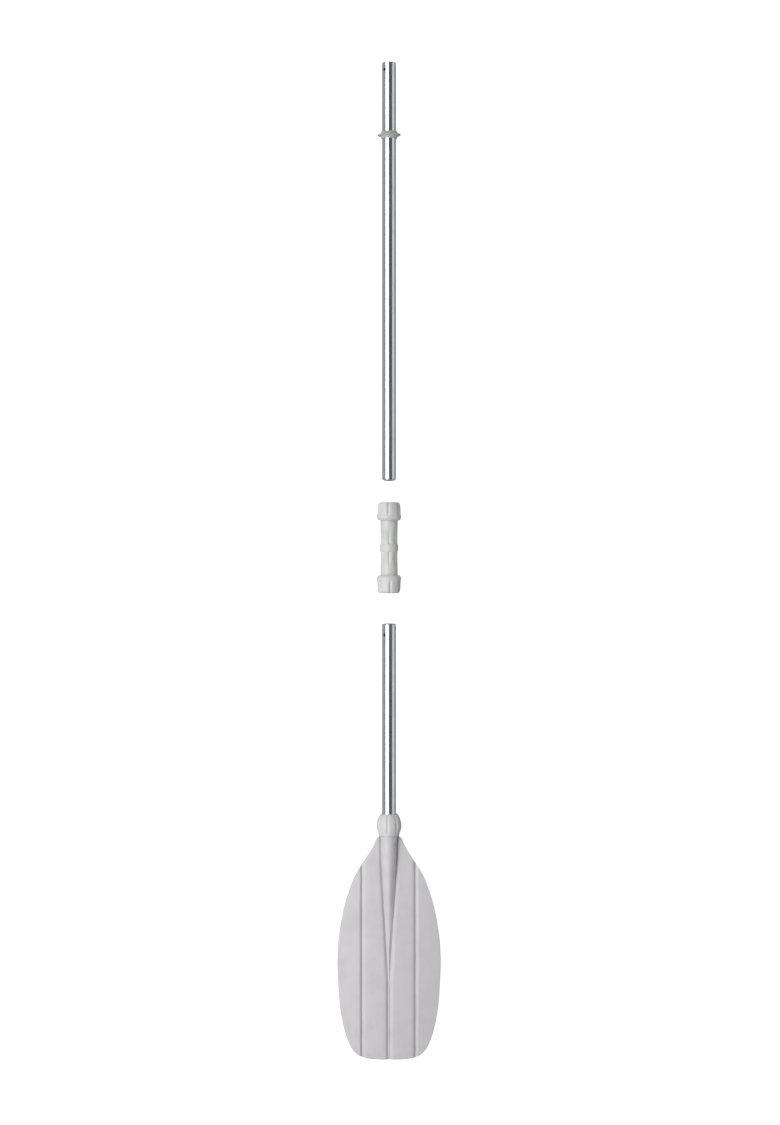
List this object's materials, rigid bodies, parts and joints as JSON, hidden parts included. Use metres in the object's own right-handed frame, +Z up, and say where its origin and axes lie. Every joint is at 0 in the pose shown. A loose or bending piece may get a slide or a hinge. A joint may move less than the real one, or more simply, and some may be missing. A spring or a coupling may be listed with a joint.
{
  "type": "rowing oar",
  "caption": "Take-apart rowing oar: aluminium tubes, fluted screw-clamp connector, sliding oar collar and a ribbed plastic blade held by a ball-shaped clamp nut.",
  "frame": {"origin": "on the surface it lies on, under the middle of the whole layout", "axes": "+Y along the oar from the blade's tip to the handle end, +X across the blade, +Z up from the surface"},
  "size_m": [0.2076, 1.998, 0.0498],
  "materials": {
    "aluminium_tube": "drawn, bright, fine lengthwise die lines",
    "blade_plastic": "moulded, satin",
    "nut_plastic": "moulded, satin",
    "sleeve_plastic": "moulded, satin",
    "collar_rubber": "soft matt",
    "plug_plastic": "moulded, matt",
    "ring_nylon": "moulded nylon"
  },
  "bodies": {
    "lower_tube": {"lower_tube": "aluminium_tube", "lower_tube_head_plug": "plug_plastic", "lower_tube_foot_plug": "plug_plastic"},
    "connector": {"connector_sleeve": "sleeve_plastic"},
    "lower_rings": {"lower_nut_washer": "ring_nylon", "lower_grip_ring": "ring_nylon"},
    "lower_nut": {"lower_nut": "nut_plastic"},
    "upper_rings": {"upper_nut_washer": "ring_nylon", "upper_grip_ring": "ring_nylon"},
    "upper_nut": {"upper_nut": "nut_plastic"},
    "upper_tube": {"upper_tube": "aluminium_tube", "upper_tube_foot_plug": "aluminium_tube", "handle_end_plug": "plug_plastic"},
    "collar": {"oar_collar": "collar_rubber"},
    "blade": {"blade": "blade_plastic"},
    "blade_rings": {"blade_nut_washer": "ring_nylon", "blade_grip_ring": "ring_nylon"},
    "blade_nut": {"blade_nut": "nut_plastic"}
  },
  "joints": [
    {"name": "connector_slide", "type": "slide", "parent": "lower_tube", "child": "connector", "axis": [0, -1, 0], "range_m": [0, 0.1485]},
    {"name": "upper_tube_slide", "type": "slide", "parent": "connector", "child": "upper_tube", "axis": [0, -1, 0], "range_m": [0, 0.1305]},
    {"name": "blade_slide", "type": "slide", "parent": "lower_tube", "child": "blade", "axis": [0, -1, 0], "range_m": [0, 0.11]},
    {"name": "collar_slide", "type": "slide", "parent": "upper_tube", "child": "collar", "axis": [0, 1, 0], "range_m": [-0.585, 0.115]},
    {"name": "lower_ring_slide", "type": "slide", "parent": "connector", "child": "lower_rings", "axis": [0, -1, 0], "range_m": [0, 0.0076]},
    {"name": "lower_nut_turn", "type": "hinge", "parent": "lower_rings", "child": "lower_nut", "pos_m": [0, 0, 0.025], "axis": [0, -1, 0], "range_deg": [0, 450]},
    {"name": "upper_ring_slide", "type": "slide", "parent": "connector", "child": "upper_rings", "axis": [0, 1, 0], "range_m": [0, 0.0076]},
    {"name": "upper_nut_turn", "type": "hinge", "parent": "upper_rings", "child": "upper_nut", "pos_m": [0, 0, 0.025], "axis": [0, 1, 0], "range_deg": [0, 450]},
    {"name": "blade_ring_slide", "type": "slide", "parent": "blade", "child": "blade_rings", "axis": [0, 1, 0], "range_m": [0, 0.0076]},
    {"name": "blade_nut_turn", "type": "hinge", "parent": "blade_rings", "child": "blade_nut", "pos_m": [0, 0, 0.025], "axis": [0, 1, 0], "range_deg": [0, 450]}
  ],
  "couplings": [
    {"joint": "lower_ring_slide", "follows": "lower_nut_turn", "m_per_rad": 0.00095493},
    {"joint": "upper_ring_slide", "follows": "upper_nut_turn", "m_per_rad": 0.00095493},
    {"joint": "blade_ring_slide", "follows": "blade_nut_turn", "m_per_rad": 0.00095493}
  ]
}
